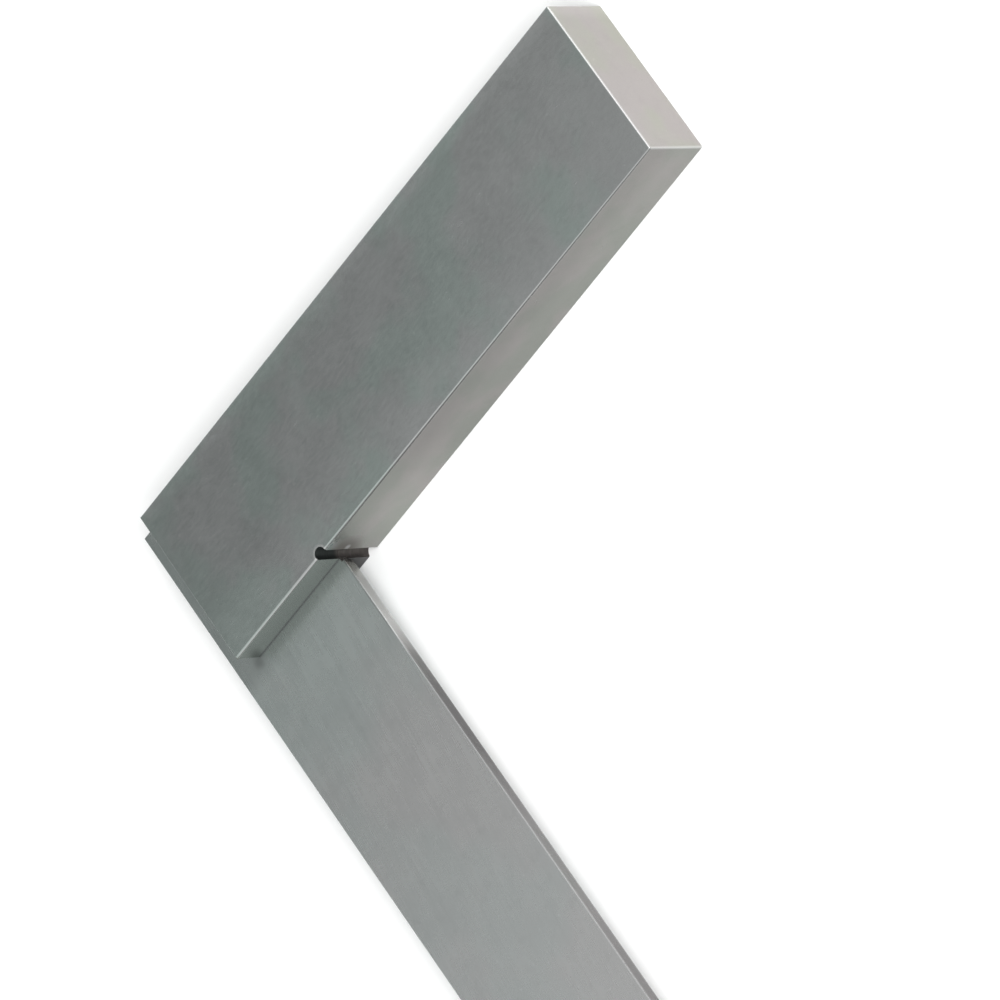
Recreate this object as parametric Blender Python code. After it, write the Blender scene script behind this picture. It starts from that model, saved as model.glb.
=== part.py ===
"""An engineer's try square: a slotted steel stock, a thin blade in its slot, and flush rivets.

The square lies on one cheek of its stock. +X runs along the blade to its tip, +Y along the stock
to its free end, and +Z through the thickness. The origin is the centre of the box's underside.
The drawing is made from the inside corner, where the stock's inner face meets the blade's inner
edge, and moved to that origin at the end. All values are in metres.
"""

import math

import bmesh
import bpy
from mathutils import Vector

# Driving dimensions
STOCK_LENGTH = 0.102
STOCK_WIDTH = 0.026
STOCK_THICKNESS = 0.011
STOCK_EDGE_BREAK = 0.00028

BLADE_REACH = 0.150  # from the stock's inner face to the tip
BLADE_WIDTH = 0.0255
BLADE_THICKNESS = 0.0018
BLADE_EDGE_BREAK = 0.00012
BLADE_PROUD = 0.0047  # how far the outer edge stands past the end of the stock

RELIEF_WIDTH = 0.0020  # relief groove in the inside corner, along the stock
RELIEF_DEPTH = 0.0012  # and into it, to the bottom of its half-round
RELIEF_OVERLAP = 0.0005  # how far it reaches past the blade's inner edge, nicking the blade
RELIEF_RUN_OUT = 0.0006  # and how far the nick runs out from the stock's inner face
RELIEF_SIDES = 20  # facets round the half-round

RIVET_SHANK_RADIUS = 0.0018
RIVET_HEAD_RADIUS = 0.0024
RIVET_SINK = 0.0008  # depth of the countersink in each cheek
RIVET_SIDES = 48
RIVET_MARGIN = 0.0060  # from a rivet's axis to the nearest side of the lap of stock and blade

SMOOTH_ANGLE = math.radians(30)  # facets that meet at less are shaded as one round surface

SLOT_GAP = 0.00003  # between the blade and each wall of the slot
RIVET_GAP = 0.00002  # round a rivet, in the cheeks and in the blade
CUT_PAST = 0.002  # how far a cutter runs out of the metal

# Derived places, from the inside corner
STOCK_END = BLADE_PROUD - BLADE_WIDTH
MID_THICKNESS = STOCK_THICKNESS / 2
BLADE_UNDERSIDE = MID_THICKNESS - BLADE_THICKNESS / 2
BLADE_FACE = MID_THICKNESS + BLADE_THICKNESS / 2
BOX_CENTRE = Vector(
    (
        (BLADE_REACH - STOCK_WIDTH) / 2,
        (STOCK_END + STOCK_LENGTH - BLADE_WIDTH) / 2,
        0,
    )
)


def clear_scene():
    for obj in list(bpy.data.objects):
        bpy.data.objects.remove(obj)


def steel(name, colour, roughness):
    material = bpy.data.materials.new(name)
    material.use_nodes = True
    shader = material.node_tree.nodes["Principled BSDF"]
    shader.inputs["Base Color"].default_value = (*colour, 1)
    shader.inputs["Metallic"].default_value = 1
    shader.inputs["Roughness"].default_value = roughness
    return material


def add_object(name, mesh_data, material=None):
    """An object of this bmesh, or a hidden cutter when it has no material."""
    mesh = bpy.data.meshes.new(name)
    mesh_data.to_mesh(mesh)
    mesh_data.free()
    mesh.shade_smooth()
    mesh.set_sharp_from_angle(angle=SMOOTH_ANGLE)
    obj = bpy.data.objects.new(name, mesh)
    bpy.context.scene.collection.objects.link(obj)
    obj.location = -BOX_CENTRE
    if material is None:
        obj.hide_render = True
        obj.display_type = "WIRE"
    else:
        mesh.materials.append(material)
    return obj


def block(name, low, high, material=None):
    """A square-edged bar between two corners."""
    mesh_data = bmesh.new()
    bmesh.ops.create_cube(mesh_data, size=1)
    for vertex in mesh_data.verts:
        vertex.co = [
            high[axis] if vertex.co[axis] > 0 else low[axis] for axis in range(3)
        ]
    return add_object(name, mesh_data, material)


def prism(name, outline, low, high):
    """A bar along Z between two heights, of (x, y) points that run anticlockwise from above."""
    mesh_data = bmesh.new()
    lower = [mesh_data.verts.new((x, y, low)) for x, y in outline]
    upper = [mesh_data.verts.new((x, y, high)) for x, y in outline]
    mesh_data.faces.new(reversed(lower))
    mesh_data.faces.new(upper)
    for side in range(len(outline)):
        after = (side + 1) % len(outline)
        mesh_data.faces.new((lower[side], lower[after], upper[after], upper[side]))
    return add_object(name, mesh_data)


def turned(name, profile, centre, material=None):
    """A body turned about a line along Z, from (radius, height) pairs that run upwards."""
    mesh_data = bmesh.new()
    rings = []
    for radius, height in profile:
        ring = []
        for side in range(RIVET_SIDES):
            angle = 2 * math.pi * side / RIVET_SIDES
            x = centre[0] + radius * math.cos(angle)
            y = centre[1] + radius * math.sin(angle)
            ring.append(mesh_data.verts.new((x, y, height)))
        rings.append(ring)
    for lower, upper in zip(rings, rings[1:]):
        for side in range(RIVET_SIDES):
            after = (side + 1) % RIVET_SIDES
            mesh_data.faces.new((lower[side], lower[after], upper[after], upper[side]))
    mesh_data.faces.new(reversed(rings[0]))
    mesh_data.faces.new(rings[-1])
    return add_object(name, mesh_data, material)


def break_edges(obj, width, segments):
    """Rounds off the sharp edges, as a stone or a wheel does."""
    bevel = obj.modifiers.new("edge break", "BEVEL")
    bevel.width = width
    bevel.segments = segments
    bevel.limit_method = "ANGLE"


def cut(obj, cutter):
    boolean = obj.modifiers.new(f"cut by {cutter.name}", "BOOLEAN")
    boolean.operation = "DIFFERENCE"
    boolean.solver = "EXACT"
    boolean.object = cutter


def rivet_profile(gap, past):
    """A rivet's outline, fuller by gap and longer by past at both ends."""
    shank = RIVET_SHANK_RADIUS + gap
    head = RIVET_HEAD_RADIUS + gap
    top = STOCK_THICKNESS
    outline = [(head, 0), (shank, RIVET_SINK), (shank, top - RIVET_SINK), (head, top)]
    if past:
        outline = [(head, -past), *outline, (head, top + past)]
    return outline


def rivet_centres():
    """Two rivets by the blade's inner edge and one by the end of the stock."""
    inner_row = -RIVET_MARGIN
    end_row = STOCK_END + RIVET_MARGIN
    return [
        (-RIVET_MARGIN, inner_row),
        (RIVET_MARGIN - STOCK_WIDTH, inner_row),
        (-STOCK_WIDTH / 2, end_row),
    ]


def build_relief_cutter():
    """The relief is cut after the blade is fastened, so one cutter goes through both."""
    radius = RELIEF_WIDTH / 2
    centre_x = radius - RELIEF_DEPTH
    centre_y = radius - RELIEF_OVERLAP
    outline = [
        (RELIEF_RUN_OUT, -RELIEF_OVERLAP),
        (RELIEF_RUN_OUT, RELIEF_WIDTH - RELIEF_OVERLAP),
    ]
    for step in range(RELIEF_SIDES + 1):
        angle = math.pi / 2 + math.pi * step / RELIEF_SIDES
        outline.append((centre_x + radius * math.cos(angle), centre_y + radius * math.sin(angle)))
    return prism("relief_cutter", outline, -CUT_PAST, STOCK_THICKNESS + CUT_PAST)


def build_stock(relief, material):
    stock = block(
        "stock",
        (-STOCK_WIDTH, STOCK_END, 0),
        (0, STOCK_END + STOCK_LENGTH, STOCK_THICKNESS),
        material,
    )
    break_edges(stock, STOCK_EDGE_BREAK, 3)
    slot = block(
        "slot_cutter",
        (-STOCK_WIDTH - CUT_PAST, STOCK_END - CUT_PAST, BLADE_UNDERSIDE - SLOT_GAP),
        (CUT_PAST, SLOT_GAP, BLADE_FACE + SLOT_GAP),
    )
    cut(stock, slot)
    cut(stock, relief)
    return stock


def build_blade(relief, material):
    blade = block(
        "blade",
        (-STOCK_WIDTH, -BLADE_WIDTH, BLADE_UNDERSIDE),
        (BLADE_REACH, 0, BLADE_FACE),
        material,
    )
    break_edges(blade, BLADE_EDGE_BREAK, 2)
    cut(blade, relief)
    return blade


def build_rivets(stock, blade, material):
    for number, centre in enumerate(rivet_centres(), start=1):
        hole = turned(f"rivet_hole_cutter_{number}", rivet_profile(RIVET_GAP, CUT_PAST), centre)
        cut(stock, hole)
        cut(blade, hole)
        turned(f"rivet_{number}", rivet_profile(0, 0), centre, material)


clear_scene()
ground_steel = steel("ground stock steel", (0.46, 0.48, 0.47), 0.34)
grained_steel = steel("grained blade steel", (0.50, 0.52, 0.51), 0.30)
soft_steel = steel("soft rivet steel", (0.44, 0.46, 0.45), 0.38)
relief_cutter = build_relief_cutter()
square_stock = build_stock(relief_cutter, ground_steel)
square_blade = build_blade(relief_cutter, grained_steel)
build_rivets(square_stock, square_blade, soft_steel)
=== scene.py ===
"""An engineer's try square on a pale floor: a ground stock, a grained blade and flush rivets."""

import math

import bmesh
import bpy
from mathutils import Matrix, Vector


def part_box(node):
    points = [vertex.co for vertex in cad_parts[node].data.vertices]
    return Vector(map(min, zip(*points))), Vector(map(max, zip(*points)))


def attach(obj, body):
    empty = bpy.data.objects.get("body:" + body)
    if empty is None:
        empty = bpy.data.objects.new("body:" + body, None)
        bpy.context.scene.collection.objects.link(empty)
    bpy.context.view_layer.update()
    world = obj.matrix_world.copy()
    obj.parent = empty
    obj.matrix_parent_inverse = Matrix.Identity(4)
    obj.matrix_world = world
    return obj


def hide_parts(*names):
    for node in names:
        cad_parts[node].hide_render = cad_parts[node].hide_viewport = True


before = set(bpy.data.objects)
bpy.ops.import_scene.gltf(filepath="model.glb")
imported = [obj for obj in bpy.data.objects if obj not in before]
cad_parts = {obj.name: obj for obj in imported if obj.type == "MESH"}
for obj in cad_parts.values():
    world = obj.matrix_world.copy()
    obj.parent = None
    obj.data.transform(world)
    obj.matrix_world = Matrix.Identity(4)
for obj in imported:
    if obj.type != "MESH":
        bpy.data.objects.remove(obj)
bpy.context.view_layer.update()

MM = 0.001

AIM = Vector((-0.0490, -0.0020, 0.0055))
AZIMUTH = math.radians(140.55)
ELEVATION = math.radians(49.14)
ROLL = math.radians(93.3)
DISTANCE = 1.513
LENS = 405.6
SENSOR = 36.0
CLIP_RANGE = (0.05, 20)

ROOM = (0.262, 0.274, 0.270, 1)

# The ceiling is a panel turned about Z, whose edge lies at its start along its own X
CEILING_TURN = math.radians(32)
CEILING_START = -0.50
CEILING_HEIGHT = 0.6
CEILING_SIZE = (1.9, 2.2)
CEILING_RADIANCE = 0.45

# The softboxes, which all face the origin: each one's name, place, size and radiance
SOFTBOXES = (
    ("front softbox", Vector((0.52, 0.63, 0.95)), (0.8, 0.8), 8.4),
    ("key softbox", Vector((-0.50, 0.92, 0.44)), (0.5, 0.75), 1.4),
    ("side softbox", Vector((0.95, -0.63, 0.24)), (0.6, 0.5), 0.14),
)

FLOOR_REACH = 4  # from the middle to each side
FLOOR_DROP = 0.05 * MM  # below the stock, so that they don't share a plane

# How far each edge of the stock is broken: along the inner face where it is free and where it lies
# beside the blade, along the outer face, round the free end, and round the butt end, which was
# ground last and left crisp
FREE_EDGE = 0.20 * MM
BESIDE_EDGE = 0.38 * MM
OUTER_EDGE = 0.18 * MM
END_EDGE = 0.24 * MM
BUTT_EDGE = 0.04 * MM
BLADE_EDGE = 0.07 * MM
STOCK_EDGE_STEPS = 6
BLADE_EDGE_STEPS = 3
EDGE_PROFILE = 0.34  # nearly the flat of a stone, a little rounded
SMOOTH_ANGLE = math.radians(34)

# The relief groove in the inside corner, as on the CAD part
RELIEF_WIDTH = 2.0 * MM
RELIEF_DEPTH = 1.2 * MM
RELIEF_OVERLAP = 0.5 * MM
RELIEF_RUN_OUT = 0.6 * MM
RELIEF_SIDES = 40

# The rivets, as on the CAD part, but for a closer fit in their holes
RIVET_SHANK = 1.8 * MM
RIVET_SINK = 0.8 * MM
RIVET_SIDES = 96
RIVET_GAP = 0.005 * MM
SLOT_GAP = 0.03 * MM
CUT_PAST = 2 * MM

# How bright the stock's inner face is, by the distance up it from the inside corner
INNER_FACE_SHADES = (
    (0 * MM, 1.0),
    (4 * MM, 1.06),
    (8 * MM, 1.12),
    (14 * MM, 1.08),
    (24 * MM, 0.90),
    (45 * MM, 0.96),
    (72 * MM, 1.06),
)

# The same for the blade's inner edge, as painted reflections: bright in the corner, then a brighter
# stretch, a darker one, and even beyond
INNER_EDGE_REFLECTIONS = (
    (0 * MM, 1.6),
    (2 * MM, 1.2),
    (4 * MM, 0.70),
    (8 * MM, 0.87),
    (12 * MM, 1.0),
    (14 * MM, 0.88),
    (18 * MM, 0.42),
    (24 * MM, 0.30),
    (34 * MM, 0.31),
    (48 * MM, 0.52),
    (60 * MM, 0.55),
    (72 * MM, 0.48),
    (150 * MM, 0.56),
)

stock_low, stock_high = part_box("stock")
blade_low, blade_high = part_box("blade")
INNER_CORNER = Vector((stock_high.x, blade_high.y, 0))
RELIEF_RADIUS = RELIEF_WIDTH / 2
RELIEF_CENTRE = INNER_CORNER + Vector(
    (RELIEF_RADIUS - RELIEF_DEPTH, RELIEF_RADIUS - RELIEF_OVERLAP, 0)
)


# ---------------------------------------------------------------- meshes


def add_object(name, mesh_data):
    mesh = bpy.data.meshes.new(name)
    mesh_data.to_mesh(mesh)
    mesh_data.free()
    obj = bpy.data.objects.new(name, mesh)
    bpy.context.scene.collection.objects.link(obj)
    return obj


def block(name, low, high):
    mesh_data = bmesh.new()
    bmesh.ops.create_cube(mesh_data, size=1)
    for vertex in mesh_data.verts:
        vertex.co = [high[axis] if vertex.co[axis] > 0 else low[axis] for axis in range(3)]
    return add_object(name, mesh_data)


def prism(name, outline, low, high):
    """A bar along Z between two heights, of (x, y) points that run anticlockwise from above."""
    mesh_data = bmesh.new()
    lower = [mesh_data.verts.new((x, y, low)) for x, y in outline]
    upper = [mesh_data.verts.new((x, y, high)) for x, y in outline]
    mesh_data.faces.new(reversed(lower))
    mesh_data.faces.new(upper)
    for side in range(len(outline)):
        after = (side + 1) % len(outline)
        mesh_data.faces.new((lower[side], lower[after], upper[after], upper[side]))
    return add_object(name, mesh_data)


def turned(name, profile, centre):
    """A closed body turned about a line along Z, from (radius, height) pairs that run upwards."""
    mesh_data = bmesh.new()
    rings = []
    for radius, height in profile:
        ring = []
        for side in range(RIVET_SIDES):
            angle = 2 * math.pi * side / RIVET_SIDES
            x = centre.x + radius * math.cos(angle)
            y = centre.y + radius * math.sin(angle)
            ring.append(mesh_data.verts.new((x, y, height)))
        rings.append(ring)
    for lower, upper in zip(rings, rings[1:]):
        for side in range(RIVET_SIDES):
            after = (side + 1) % RIVET_SIDES
            mesh_data.faces.new((lower[side], lower[after], upper[after], upper[side]))
    mesh_data.faces.new(reversed(rings[0]))
    mesh_data.faces.new(rings[-1])
    return add_object(name, mesh_data)


def apply_modifiers(obj):
    graph = bpy.context.evaluated_depsgraph_get()
    mesh = bpy.data.meshes.new_from_object(obj.evaluated_get(graph))
    obj.modifiers.clear()
    obj.data = mesh


def round_edges(obj, width_of, steps):
    """Rounds each edge by the width that its direction and middle give."""
    widths = [width_of(*edge_line(obj.data, edge)) for edge in obj.data.edges]
    weights = obj.data.attributes.new("bevel_weight_edge", "FLOAT", "EDGE")
    for value, width in zip(weights.data, widths):
        value.value = width / max(widths)
    bevel = obj.modifiers.new("edge", "BEVEL")
    bevel.width = max(widths)
    bevel.segments = steps
    bevel.profile = EDGE_PROFILE
    bevel.limit_method = "WEIGHT"
    apply_modifiers(obj)


def edge_line(mesh, edge):
    """An edge's direction and its middle."""
    start, end = [mesh.vertices[index].co for index in edge.vertices]
    return (end - start).normalized(), (start + end) / 2


def subtract(obj, cutters):
    for cutter in cutters:
        boolean = obj.modifiers.new("cut", "BOOLEAN")
        boolean.operation = "DIFFERENCE"
        boolean.solver = "EXACT"
        boolean.object = cutter
        apply_modifiers(obj)


def shade(obj):
    """Smooth over the rounded edges, with the flat faces kept flat."""
    obj.data.shade_smooth()
    obj.data.set_sharp_from_angle(angle=SMOOTH_ANGLE)
    weighted = obj.modifiers.new("flat faces", "WEIGHTED_NORMAL")
    weighted.keep_sharp = True
    weighted.weight = 100  # the largest: only the large faces count


# ---------------------------------------------------------------- pieces


def rivet_profile(low, high, gap, past):
    """The outline of the CAD rivet: a shank with a countersunk head at each end."""
    head = (high.x - low.x) / 2 + gap
    shank = RIVET_SHANK + gap
    outline = [
        (head, low.z),
        (shank, low.z + RIVET_SINK),
        (shank, high.z - RIVET_SINK),
        (head, high.z),
    ]
    if past:
        outline = [(head, low.z - past), *outline, (head, high.z + past)]
    return outline


def rivet_hole(node):
    low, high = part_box(node)
    return turned(node + "_hole", rivet_profile(low, high, RIVET_GAP, CUT_PAST), (low + high) / 2)


def build_rivet(node):
    low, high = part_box(node)
    rivet = turned(node + "_ground", rivet_profile(low, high, 0, 0), (low + high) / 2)
    shade(rivet)
    return rivet


def relief_cutter():
    """A half-round groove down the inside corner."""
    radius, centre = RELIEF_RADIUS, RELIEF_CENTRE
    mouth = INNER_CORNER.x + RELIEF_RUN_OUT
    outline = [(mouth, centre.y - radius), (mouth, centre.y + radius)]
    for step in range(RELIEF_SIDES + 1):
        angle = math.pi / 2 + math.pi * step / RELIEF_SIDES
        outline.append((centre.x + radius * math.cos(angle), centre.y + radius * math.sin(angle)))
    return prism("relief", outline, -CUT_PAST, stock_high.z + CUT_PAST)


def slot_cutter():
    low = Vector((stock_low.x - CUT_PAST, stock_low.y - CUT_PAST, blade_low.z - SLOT_GAP))
    high = Vector((stock_high.x + CUT_PAST, blade_high.y + SLOT_GAP, blade_high.z + SLOT_GAP))
    return block("slot", low, high)


def stock_edge(direction, middle):
    """How far the stock's edge in this direction through this middle is broken."""
    if middle.y > stock_high.y - MM:
        return END_EDGE
    if middle.y < stock_low.y + MM:
        return BUTT_EDGE
    if middle.x < stock_low.x + MM:
        return OUTER_EDGE
    if abs(direction.z) > 0.5:
        return 0
    return FREE_EDGE if middle.y > INNER_CORNER.y + MM else BESIDE_EDGE


def build_stock(relief, holes):
    """The inner face is split at the relief, so that its edges can differ on its two sides."""
    low, high = stock_low, stock_high
    split = (high.x, RELIEF_CENTRE.y)
    outline = [(low.x, low.y), (high.x, low.y), split, (high.x, high.y), (low.x, high.y)]
    stock = prism("stock_ground", outline, low.z, high.z)
    round_edges(stock, stock_edge, STOCK_EDGE_STEPS)
    slot = slot_cutter()
    subtract(stock, [slot, relief, *holes])
    bpy.data.objects.remove(slot)
    shade(stock)
    return stock


def build_blade(relief, holes):
    blade = block("blade_ground", blade_low, blade_high)
    round_edges(blade, lambda *line: BLADE_EDGE, BLADE_EDGE_STEPS)
    subtract(blade, [relief, *holes])
    shade(blade)
    return blade


# ---------------------------------------------------------------- material nodes


def grey(value):
    return (value, value, value, 1)


class Tree:
    """A material's nodes, with a short call for each kind that is used."""

    def __init__(self, name):
        self.material = bpy.data.materials.new(name)
        self.material.use_nodes = True
        self.nodes = self.material.node_tree.nodes
        self.links = self.material.node_tree.links
        self.shader = self.nodes["Principled BSDF"]
        texture = self.nodes.new("ShaderNodeTexCoord")
        self.place = texture.outputs["Object"]
        self.normal = texture.outputs["Normal"]

    def plug(self, value, socket):
        if isinstance(value, bpy.types.NodeSocket):
            self.links.new(value, socket)
        else:
            socket.default_value = value

    def math(self, operation, *values, clamp=False):
        node = self.nodes.new("ShaderNodeMath")
        node.operation = operation
        node.use_clamp = clamp
        for value, socket in zip(values, node.inputs):
            self.plug(value, socket)
        return node.outputs[0]

    def plus(self, first, second):
        return self.math("ADD", first, second)

    def minus(self, first, second):
        return self.math("SUBTRACT", first, second)

    def times(self, first, second):
        return self.math("MULTIPLY", first, second)

    def without(self, mask, other):
        """The mask less the other one, and no less than 0."""
        return self.math("SUBTRACT", mask, other, clamp=True)

    def split(self, vector):
        node = self.nodes.new("ShaderNodeSeparateXYZ")
        self.plug(vector, node.inputs[0])
        return node.outputs[0], node.outputs[1], node.outputs[2]

    def axes(self):
        """The place's X, Y and Z, in metres."""
        return self.split(self.place)

    def vector(self, operation, first, second):
        node = self.nodes.new("ShaderNodeVectorMath")
        node.operation = operation
        self.plug(first, node.inputs[0])
        self.plug(second, node.inputs[1])
        return node.outputs["Vector"]

    def length(self, vector):
        node = self.nodes.new("ShaderNodeVectorMath")
        node.operation = "LENGTH"
        self.plug(vector, node.inputs[0])
        return node.outputs["Value"]

    def noise(self, scale, detail=2.0, turn=0.0, roughness=0.5):
        """Noise from 0 to 1, whose scale is cycles per millimetre on each axis. The turn is that
        of its axes about Z."""
        axes = self.nodes.new("ShaderNodeMapping")
        axes.inputs["Rotation"].default_value = (0, 0, -turn)
        self.plug(self.place, axes.inputs["Vector"])
        per_metre = [cycles / MM for cycles in scale]
        node = self.nodes.new("ShaderNodeTexNoise")
        node.inputs["Scale"].default_value = 1
        node.inputs["Detail"].default_value = detail
        node.inputs["Roughness"].default_value = roughness
        self.plug(self.vector("MULTIPLY", axes.outputs["Vector"], per_metre), node.inputs["Vector"])
        return node.outputs["Fac"]

    def vary(self, noise, middle, swing):
        """A number that noise moves to either side of its middle, by as much as its swing. Noise
        keeps mostly from 0.3 to 0.7."""
        node = self.nodes.new("ShaderNodeMapRange")
        node.inputs["From Min"].default_value = 0.3
        node.inputs["From Max"].default_value = 0.7
        self.plug(noise, node.inputs["Value"])
        self.plug(middle - swing, node.inputs["To Min"])
        self.plug(middle + swing, node.inputs["To Max"])
        return node.outputs["Result"]

    def rise(self, value, start, end):
        """0 before start and 1 after end, smooth between them."""
        node = self.nodes.new("ShaderNodeMapRange")
        node.interpolation_type = "SMOOTHSTEP"
        node.inputs["From Min"].default_value = start
        node.inputs["From Max"].default_value = end
        self.plug(value, node.inputs["Value"])
        return node.outputs["Result"]

    def fall(self, value, start, end):
        """1 before start and 0 after end, smooth between them."""
        return self.minus(1, self.rise(value, start, end))

    def near(self, point, start, end, along=(1, 1, 1)):
        """1 within start of a point and 0 beyond end, with each axis counted as along says."""
        away = self.vector("SUBTRACT", self.place, point)
        return self.fall(self.length(self.vector("MULTIPLY", away, along)), start, end)

    def on_face(self, axis):
        """1 on the faces across this axis and 0 on the others, changing half-way round an edge."""
        return self.rise(self.math("ABSOLUTE", self.split(self.normal)[axis]), 0.6, 0.8)

    def edge_distance(self, low, high):
        """How far a point on a box's faces is from the nearest edge, in metres."""
        gaps = []
        for value, start, end in zip(self.axes(), low, high):
            from_middle = self.math("ABSOLUTE", self.minus(value, (start + end) / 2))
            gaps.append(self.minus((end - start) / 2, from_middle))
        least = self.math("MINIMUM", self.math("MINIMUM", gaps[0], gaps[1]), gaps[2])
        most = self.math("MAXIMUM", self.math("MAXIMUM", gaps[0], gaps[1]), gaps[2])
        total = self.plus(self.plus(gaps[0], gaps[1]), gaps[2])
        return self.minus(self.minus(total, least), most)

    def blend(self, factor, first, second, kind="MIX"):
        node = self.nodes.new("ShaderNodeMix")
        node.data_type = "RGBA"
        node.blend_type = kind
        self.plug(factor, node.inputs["Factor"])
        self.plug(first, node.inputs["A"])
        self.plug(second, node.inputs["B"])
        return node.outputs["Result"]

    def tint(self, colour, mask, filter_colour):
        """The colour seen through a filter where the mask is 1."""
        return self.blend(mask, colour, self.blend(1.0, colour, filter_colour, "MULTIPLY"))

    def darken(self, colour, mask, amount):
        """The colour with this much of it taken away where the mask is 1."""
        return self.tint(colour, mask, grey(1 - amount))

    def shade_along(self, colour, mask, distance, shades):
        """The colour, where the mask is 1, times a brightness that changes with a distance. Shades
        are (distance, brightness) pairs. A ramp holds no more than 1, so it holds half of each."""
        reach = shades[-1][0]
        ramp = self.nodes.new("ShaderNodeValToRGB")
        self.plug(self.math("DIVIDE", distance, reach), ramp.inputs["Fac"])
        stops = ramp.color_ramp.elements
        stops[0].color = grey(shades[0][1] / 2)
        stops[1].color = grey(shades[-1][1] / 2)
        for place, value in shades[1:-1]:
            stops.new(place / reach).color = grey(value / 2)
        return self.tint(colour, mask, self.times(ramp.outputs["Color"], 2))

    def bump(self, height, distance, strength=1.0, under=None):
        node = self.nodes.new("ShaderNodeBump")
        node.inputs["Distance"].default_value = distance
        node.inputs["Strength"].default_value = strength
        self.plug(height, node.inputs["Height"])
        if under is not None:
            self.plug(under, node.inputs["Normal"])
        return node.outputs["Normal"]


# ---------------------------------------------------------------- ground steel

# How far the mottling, the grain and the grit each move the brightness, and how far the first two
# each move the roughness
MOTTLE_SWING = 0.02
GRAIN_SWING = 0.02
GRIT_SWING = 0.01
ROUGHNESS_SWING = 0.02

SPOT_DARKENING = 0.03
SPECK_BRIGHTENING = 0.08
WORN_GREY = grey(0.75)
WORN_SHARE = 0.5  # how much of that grey a worn edge takes
PAINTED_SHADE_ROUGHNESS = 0.3  # what the mask of painted shade adds to the roughness
GRAIN_DEPTH = 0.004 * MM
GRAIN_STRENGTH = 0.45
GRIT_DEPTH = 0.003 * MM
GRIT_STRENGTH = 0.5


def ground_steel(
    name,
    low,
    high,
    cheek,
    across_x,
    across_y,
    roughness,
    cloud_scale,
    grain,
    marks,
):
    """Ground steel inside a box: cloudy tint, mottling, grain, specks, and edges that handling has
    worn bright, but for those at its low Y end.

    Each of cheek, across_x and across_y is a pair of tints that the cloud moves between. The
    grain is noise from its own function. Marks adds what only this piece has to the colour, and
    gives that and a mask of its painted shade, which is also made rougher.
    """
    tree = Tree(name)
    cloud = tree.rise(tree.noise((cloud_scale, cloud_scale, 0.12), detail=3), 0.40, 0.60)
    spots = tree.rise(tree.noise((0.45, 0.45, 0.45), detail=2), 0.56, 0.70)
    specks = tree.rise(tree.noise((1.1, 1.1, 1.1), detail=1), 0.72, 0.78)
    mottle = tree.noise((0.16, 0.16, 0.16), detail=4, roughness=0.6)
    grit = tree.noise((3.5, 3.5, 3.5), detail=2)
    streaks = grain(tree)
    worn = tree.fall(tree.edge_distance(low, high), 0.06 * MM, 0.38 * MM)
    worn = tree.times(worn, tree.rise(tree.axes()[1], low.y + 0.3 * MM, low.y + 0.8 * MM))

    colour = tree.blend(tree.on_face(0), tree.blend(cloud, *cheek), tree.blend(cloud, *across_x))
    colour = tree.blend(tree.on_face(1), colour, tree.blend(cloud, *across_y))
    value = tree.times(tree.vary(mottle, 1, MOTTLE_SWING), tree.vary(grit, 1, GRIT_SWING))
    value = tree.times(value, tree.vary(streaks, 1, GRAIN_SWING))
    value = tree.minus(value, tree.times(spots, SPOT_DARKENING))
    value = tree.plus(value, tree.times(specks, SPECK_BRIGHTENING))
    colour = tree.blend(1.0, colour, value, "MULTIPLY")
    colour = tree.blend(tree.times(worn, WORN_SHARE), colour, WORN_GREY)
    colour, painted_shade = marks(tree, colour)
    tree.plug(colour, tree.shader.inputs["Base Color"])

    rough = tree.vary(mottle, roughness, ROUGHNESS_SWING)
    rough = tree.plus(rough, tree.vary(streaks, 0, ROUGHNESS_SWING))
    rough = tree.plus(rough, tree.times(painted_shade, PAINTED_SHADE_ROUGHNESS))
    tree.plug(rough, tree.shader.inputs["Roughness"])
    tree.shader.inputs["Metallic"].default_value = 1
    normal = tree.bump(streaks, GRAIN_DEPTH, GRAIN_STRENGTH)
    normal = tree.bump(grit, GRIT_DEPTH, GRIT_STRENGTH, normal)
    tree.plug(normal, tree.shader.inputs["Normal"])
    return tree.material


# ---------------------------------------------------------------- the stock's look

RIM_HIGHLIGHT_GREY = grey(0.70)
RIM_HIGHLIGHT_SHARE = 0.8
PALER = grey(1.14)
UPPER_FACE_SHADE = 0.20
JOINT_GREY = grey(0.31)
BESIDE_BLADE = (0.375, 0.395, 0.375, 1)
UNDER_BLADE_SHADE = 0.78
CORNER_GLARE = (0.40, 0.43, 0.42, 1)
CORNER_SHADE = (0.165, 0.152, 0.143, 1)
NICK_GREY = grey(0.42)
NICK_SHARE = 0.9


def stock_grain(tree):
    """Hardly any direction: the wheel's marks were polished out."""
    return tree.noise((2.2, 0.7, 2.2), detail=3, roughness=0.6)


def stock_marks(tree, colour):
    """The tones of the cheeks and of the inner face, which has a free stretch and one beside the
    blade, and the painted shade in the corner between them. Gives the colour and the painted
    shade's mask."""
    x, y, _ = tree.axes()
    inner = tree.times(tree.rise(x, stock_high.x - 4 * MM, stock_high.x - 2 * MM), tree.on_face(0))
    free = tree.times(tree.rise(y, INNER_CORNER.y - 0.1 * MM, INNER_CORNER.y), inner)
    beside = tree.without(inner, free)
    colour = tone_cheeks(tree, colour)
    colour = tone_free_stretch(tree, colour, free)
    colour = tone_beside_blade(tree, colour, beside)
    return shade_corner(tree, colour, free)


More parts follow.
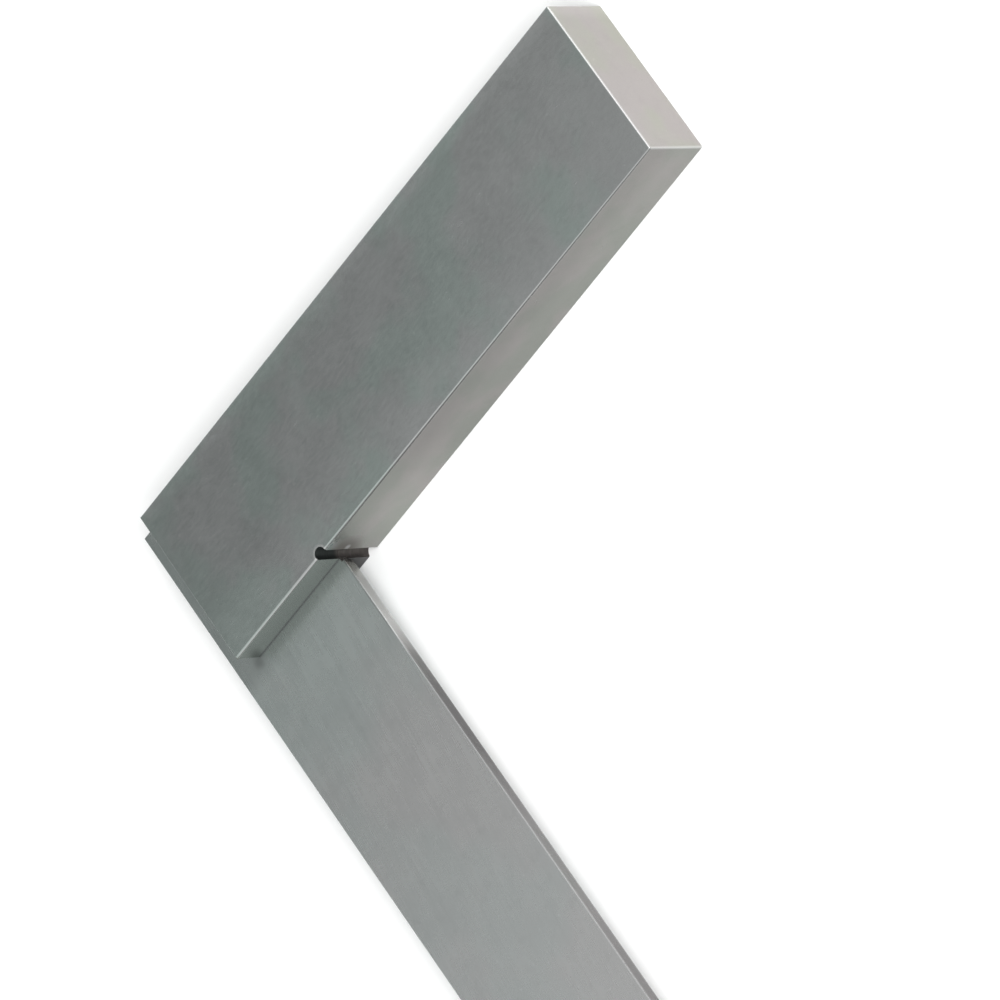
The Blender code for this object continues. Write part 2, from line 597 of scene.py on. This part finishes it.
def tone_cheeks(tree, colour):
    """A painted highlight round the relief's mouth, and paler along the outer face and to the inner
    one, where that fades out towards the free end."""
    x, y, _ = tree.axes()
    on_x = tree.on_face(0)
    rim_start, rim_end = RELIEF_RADIUS + 0.1 * MM, RELIEF_RADIUS + 0.5 * MM
    rim_highlight = tree.without(tree.near(RELIEF_CENTRE, rim_start, rim_end, (1, 1, 0)), on_x)
    # painted highlight round the relief's mouth
    colour = tree.blend(tree.times(rim_highlight, RIM_HIGHLIGHT_SHARE), colour, RIM_HIGHLIGHT_GREY)
    inner = tree.rise(x, stock_high.x - 10 * MM, stock_high.x)
    inner = tree.without(inner, tree.rise(y, stock_high.y - 50 * MM, stock_high.y))
    outer = tree.fall(x, stock_low.x + 0.5 * MM, stock_low.x + 3 * MM)
    return tree.tint(colour, tree.without(tree.plus(inner, outer), on_x), PALER)


def tone_free_stretch(tree, colour, free):
    """Painted shade towards the upper cheek, and uneven along the stock."""
    _, y, z = tree.axes()
    # painted shade: the free inner face darker towards the upper cheek
    upper_shade = tree.times(tree.rise(z, 3 * MM, 10 * MM), free)
    colour = tree.darken(colour, upper_shade, UPPER_FACE_SHADE)
    return tree.shade_along(colour, free, tree.minus(y, INNER_CORNER.y), INNER_FACE_SHADES)


def tone_beside_blade(tree, colour, beside):
    """Bright over the blade, but for a line along the joint, and painted shade under the blade."""
    z = tree.axes()[2]
    over_joint = tree.rise(z, blade_high.z + 0.1 * MM, blade_high.z + 0.5 * MM)
    colour = tree.blend(beside, colour, tree.blend(over_joint, JOINT_GREY, BESIDE_BLADE))
    # painted shade on the inner face under the blade
    under = tree.fall(z, blade_low.z, blade_high.z)
    return tree.darken(colour, tree.times(under, beside), UNDER_BLADE_SHADE)


def shade_corner(tree, colour, free):
    """A painted glare where the relief meets the upper cheek, with painted shade below it and a
    nick in the relief's lip. Gives the colour and the mask of the painted shade."""
    glare_place = INNER_CORNER + Vector((0, 1.5 * MM, stock_high.z))
    corner_shade_place = INNER_CORNER + Vector((0, 1.4 * MM, 7 * MM))
    nick_place = INNER_CORNER + Vector((0, 1.9 * MM, blade_high.z + 0.3 * MM))
    # painted glare: the cheek's corner by the relief painted brighter
    glare = tree.times(tree.near(glare_place, 0.5 * MM, 3.2 * MM), free)
    # painted shade in the inside corner, which is also made rougher
    painted_shade = tree.times(tree.near(corner_shade_place, 0.5 * MM, 3.6 * MM, (1, 1, 0.8)), free)
    nick = tree.times(tree.near(nick_place, 0.1 * MM, 0.7 * MM), free)
    colour = tree.blend(glare, colour, CORNER_GLARE)
    colour = tree.blend(painted_shade, colour, CORNER_SHADE)
    return tree.blend(tree.times(nick, NICK_SHARE), colour, NICK_GREY), painted_shade


# ---------------------------------------------------------------- the blade's look

GREENER = (0.95, 1, 0.985, 1)
IN_STOCK_AND_SHADE_BESIDE_DARKENING = 0.19
JOINT_DARKENING = 0.10
JOINT_END_SHADE_DARKENING = 0.5
ARRIS_DARKENING = 0.38


def blade_grain(tree):
    """Long strokes, a little askew to the blade, in a fine set and a broad one."""
    skew = math.radians(-6)
    fine = tree.noise((0.12, 4, 4), detail=3, turn=skew, roughness=0.6)
    broad = tree.noise((0.05, 1.1, 1.1), detail=2, turn=skew)
    return tree.plus(tree.times(fine, 0.5), tree.times(broad, 0.5))


def blade_marks(tree, colour):
    """The tones towards the stock and of the inner edge. Gives the colour and the painted shade
    where the joint ends.
    """
    colour, joint_end_shade = tone_towards_stock(tree, colour)
    return tone_inner_edge(tree, colour), joint_end_shade


def tone_towards_stock(tree, colour):
    """Greener towards the stock, darker in it, in painted shade beside it, darker along the joint,
    and in painted shade where the joint ends. Gives the colour and the mask of that last painted
    shade."""
    x, y, _ = tree.axes()
    corner = INNER_CORNER.x
    greener = tree.without(tree.fall(x, corner + 2 * MM, corner + 32 * MM), tree.on_face(1))
    in_stock_and_shade_beside = tree.fall(x, corner + 0.5 * MM, corner + 4 * MM)
    joint = tree.fall(x, corner + 0.05 * MM, corner + 0.35 * MM)
    joint = tree.times(joint, tree.rise(y, stock_low.y - 0.6 * MM, stock_low.y))
    joint_end_shade_place = Vector((corner + 0.4 * MM, stock_low.y - 0.5 * MM, blade_high.z))
    joint_end_shade = tree.near(joint_end_shade_place, 0.2 * MM, 1.9 * MM)
    colour = tree.tint(colour, greener, GREENER)
    # darker in the stock, and painted shade on the blade beside it
    colour = tree.darken(colour, in_stock_and_shade_beside, IN_STOCK_AND_SHADE_BESIDE_DARKENING)
    colour = tree.darken(colour, joint, JOINT_DARKENING)
    # painted shade where the joint ends, whose mask also makes it rougher
    return tree.darken(colour, joint_end_shade, JOINT_END_SHADE_DARKENING), joint_end_shade


def tone_inner_edge(tree, colour):
    """The inner edge painted with brighter and darker reflections along it, and its arris not worn
    bright near the corner.
    """
    x, y, _ = tree.axes()
    on_y = tree.on_face(1)
    arris = tree.rise(y, INNER_CORNER.y - 0.35 * MM, INNER_CORNER.y - 0.1 * MM)
    arris = tree.times(arris, tree.fall(x, INNER_CORNER.x + 11 * MM, INNER_CORNER.x + 15 * MM))
    colour = tree.darken(colour, tree.without(arris, on_y), ARRIS_DARKENING)
    inner = tree.rise(y, INNER_CORNER.y - 1.2 * MM, INNER_CORNER.y - 0.6 * MM)
    inner = tree.times(on_y, inner)
    # painted reflections along the inner edge, brightest in the corner
    return tree.shade_along(colour, inner, tree.minus(x, INNER_CORNER.x), INNER_EDGE_REFLECTIONS)


# ---------------------------------------------------------------- cut walls

# Dark joints round the blade, and painted shade in the relief, blackest to the upper cheek
JOINT_AND_SHADE_TINTS = ((0.075, 0.068, 0.064, 1), (0.11, 0.10, 0.095, 1))
DEEP_SHADE_TINT = (0.030, 0.034, 0.033, 1)
SAW_MARK_DEPTH = 0.01 * MM

PLANE_SLACK = 0.001 * MM  # what counts as lying in a plane
WALL_SLACK = 0.1 * MM  # how far a wall of the slot may be from the blade
RELIEF_SLACK = 1.01  # the relief's size for finding its walls, as a share of its own


def shaded_sawn_steel():
    """The walls of the slot, dark like joints, and of the relief, in painted shade that is blacker
    to the upper cheek, with the cutter's marks across them."""
    tree = Tree("sawn steel with dark joints and painted shade")
    marks = tree.noise((0.3, 0.3, 5), detail=3)
    # dark joints and painted shade, with deeper painted shade to the upper cheek
    joint_and_shade = tree.blend(tree.noise((1.2, 1.2, 1.2)), *JOINT_AND_SHADE_TINTS)
    deeper_shade = tree.rise(tree.axes()[2], blade_high.z - 0.3 * MM, blade_high.z + MM)
    tree.plug(tree.blend(deeper_shade, joint_and_shade, DEEP_SHADE_TINT), tree.shader.inputs["Base Color"])
    tree.plug(tree.vary(marks, 0.6, 0.1), tree.shader.inputs["Roughness"])
    tree.shader.inputs["Metallic"].default_value = 1
    tree.plug(tree.bump(marks, SAW_MARK_DEPTH), tree.shader.inputs["Normal"])
    return tree.material


def in_relief(centre, normal):
    """Whether a face is a wall of the relief, in the stock or in the blade."""
    from_corner = centre - INNER_CORNER
    inside = -RELIEF_DEPTH * RELIEF_SLACK < from_corner.x < RELIEF_RUN_OUT * RELIEF_SLACK
    beside = abs(centre.y - RELIEF_CENTRE.y) < RELIEF_RADIUS * RELIEF_SLACK
    plain_face = min(abs(from_corner.x), abs(from_corner.y)) < PLANE_SLACK
    return inside and beside and not plain_face and abs(normal.z) < 0.5


def in_slot(centre, normal):
    """Whether a face of the stock is a wall of the slot."""
    level = blade_low.z - WALL_SLACK < centre.z < blade_high.z + WALL_SLACK
    return level and centre.y < blade_high.y + WALL_SLACK and abs(normal.x) < 0.9


def is_cut_in_stock(centre, normal):
    return in_relief(centre, normal) or in_slot(centre, normal)


def is_cut_in_blade(centre, normal):
    """The nick from the relief, but for where it runs out past the stock."""
    return in_relief(centre, normal) and centre.x < INNER_CORNER.x


def paint(obj, *materials):
    obj.data.materials.clear()
    for material in materials:
        obj.data.materials.append(material)


def paint_with_cuts(obj, material, cut_material, is_cut):
    """Gives the faces that the cutters left a material of their own."""
    paint(obj, material, cut_material)
    for face in obj.data.polygons:
        if is_cut(face.center, face.normal):
            face.material_index = 1


# ---------------------------------------------------------------- stage


def pale_floor():
    """White and matt from above, and clear from below, so that views from there aren't blocked."""
    tree = Tree("pale floor")
    tree.shader.inputs["Base Color"].default_value = grey(0.96)
    tree.shader.inputs["Roughness"].default_value = 0.9
    tree.shader.inputs["Specular IOR Level"].default_value = 0
    clear = tree.nodes.new("ShaderNodeBsdfTransparent")
    side = tree.nodes.new("ShaderNodeNewGeometry")
    mix = tree.nodes.new("ShaderNodeMixShader")
    tree.plug(side.outputs["Backfacing"], mix.inputs["Fac"])
    tree.plug(tree.shader.outputs["BSDF"], mix.inputs[1])
    tree.plug(clear.outputs["BSDF"], mix.inputs[2])
    tree.plug(mix.outputs["Shader"], tree.nodes["Material Output"].inputs["Surface"])
    return tree.material


def build_floor():
    mesh_data = bmesh.new()
    corners = ((-1, -1), (1, -1), (1, 1), (-1, 1))
    places = [(x * FLOOR_REACH, y * FLOOR_REACH, -FLOOR_DROP) for x, y in corners]
    mesh_data.faces.new([mesh_data.verts.new(place) for place in places])
    floor = add_object("floor", mesh_data)
    paint(floor, pale_floor())


def build_world():
    """An even dim room."""
    world = bpy.data.worlds.new("dim room")
    world.use_nodes = True
    world.node_tree.nodes["Background"].inputs["Color"].default_value = ROOM
    bpy.context.scene.world = world


def light_panel(name, size, radiance):
    """A rectangle that sheds this radiance evenly and is unseen by the camera."""
    light = bpy.data.lights.new(name, "AREA")
    light.shape = "RECTANGLE"
    light.size, light.size_y = size
    light.energy = radiance * math.pi * light.size * light.size_y
    obj = bpy.data.objects.new(name, light)
    obj.visible_camera = False
    bpy.context.scene.collection.objects.link(obj)
    return obj


def build_lights():
    """A ceiling whose edge runs past the corner of the square, and the softboxes."""
    ceiling = light_panel("ceiling", CEILING_SIZE, CEILING_RADIANCE)
    across = Vector((math.cos(CEILING_TURN), math.sin(CEILING_TURN), 0))
    ceiling.location = across * (CEILING_START + CEILING_SIZE[0] / 2)
    ceiling.location.z = CEILING_HEIGHT
    ceiling.rotation_euler = (0, 0, CEILING_TURN)
    for name, place, size, radiance in SOFTBOXES:
        softbox = light_panel(name, size, radiance)
        softbox.location = place
        softbox.rotation_mode = "QUATERNION"
        softbox.rotation_quaternion = (-place).to_track_quat("-Z", "Y")


def build_camera():
    data = bpy.data.cameras.new("camera")
    data.lens = LENS
    data.sensor_width = SENSOR
    data.clip_start, data.clip_end = CLIP_RANGE
    camera = bpy.data.objects.new("camera", data)
    level = math.cos(ELEVATION)
    back = Vector((math.sin(AZIMUTH) * level, -math.cos(AZIMUTH) * level, math.sin(ELEVATION)))
    turn = (-back).to_track_quat("-Z", "Y").to_matrix().to_4x4() @ Matrix.Rotation(-ROLL, 4, "Z")
    camera.matrix_world = Matrix.Translation(AIM + back * DISTANCE) @ turn
    bpy.context.scene.collection.objects.link(camera)
    bpy.context.scene.camera = camera


# ---------------------------------------------------------------- assembly


rivet_nodes = sorted(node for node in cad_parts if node.startswith("rivet"))
relief = relief_cutter()
holes = [rivet_hole(node) for node in rivet_nodes]
stock = build_stock(relief, holes)
blade = build_blade(relief, holes)
rivets = {node: build_rivet(node) for node in rivet_nodes}
for cutter in [relief, *holes]:
    bpy.data.objects.remove(cutter)

stock_steel = ground_steel(
    "ground stock steel",
    stock_low,
    stock_high,
    cheek=((0.452, 0.505, 0.485, 1), (0.483, 0.49, 0.49, 1)),
    # painted shade: the inner and outer faces are tinted far darker than the cheeks, for the shade
    # the inner face reflects
    across_x=((0.220, 0.229, 0.209, 1), (0.251, 0.241, 0.232, 1)),
    across_y=((0.380, 0.377, 0.336, 1), (0.393, 0.366, 0.358, 1)),
    roughness=0.24,
    cloud_scale=0.09,
    grain=stock_grain,
    marks=stock_marks,
)
blade_steel = ground_steel(
    "grained blade steel",
    blade_low,
    blade_high,
    cheek=((0.642, 0.662, 0.658, 1), (0.665, 0.658, 0.658, 1)),
    across_x=((0.42, 0.42, 0.41, 1), (0.44, 0.43, 0.42, 1)),
    across_y=((0.39, 0.39, 0.38, 1), (0.42, 0.405, 0.405, 1)),
    roughness=0.27,
    cloud_scale=0.045,
    grain=blade_grain,
    marks=blade_marks,
)
joint_and_shade_steel = shaded_sawn_steel()
paint_with_cuts(stock, stock_steel, joint_and_shade_steel, is_cut_in_stock)
paint_with_cuts(blade, blade_steel, joint_and_shade_steel, is_cut_in_blade)
for rivet in rivets.values():
    paint(rivet, stock_steel)

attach(stock, "root")
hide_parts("stock")
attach(blade, "root")
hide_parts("blade")
for node, rivet in rivets.items():
    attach(rivet, "root")
    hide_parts(node)

build_floor()
build_world()
build_lights()
build_camera()
bpy.context.scene.view_settings.view_transform = "Standard"
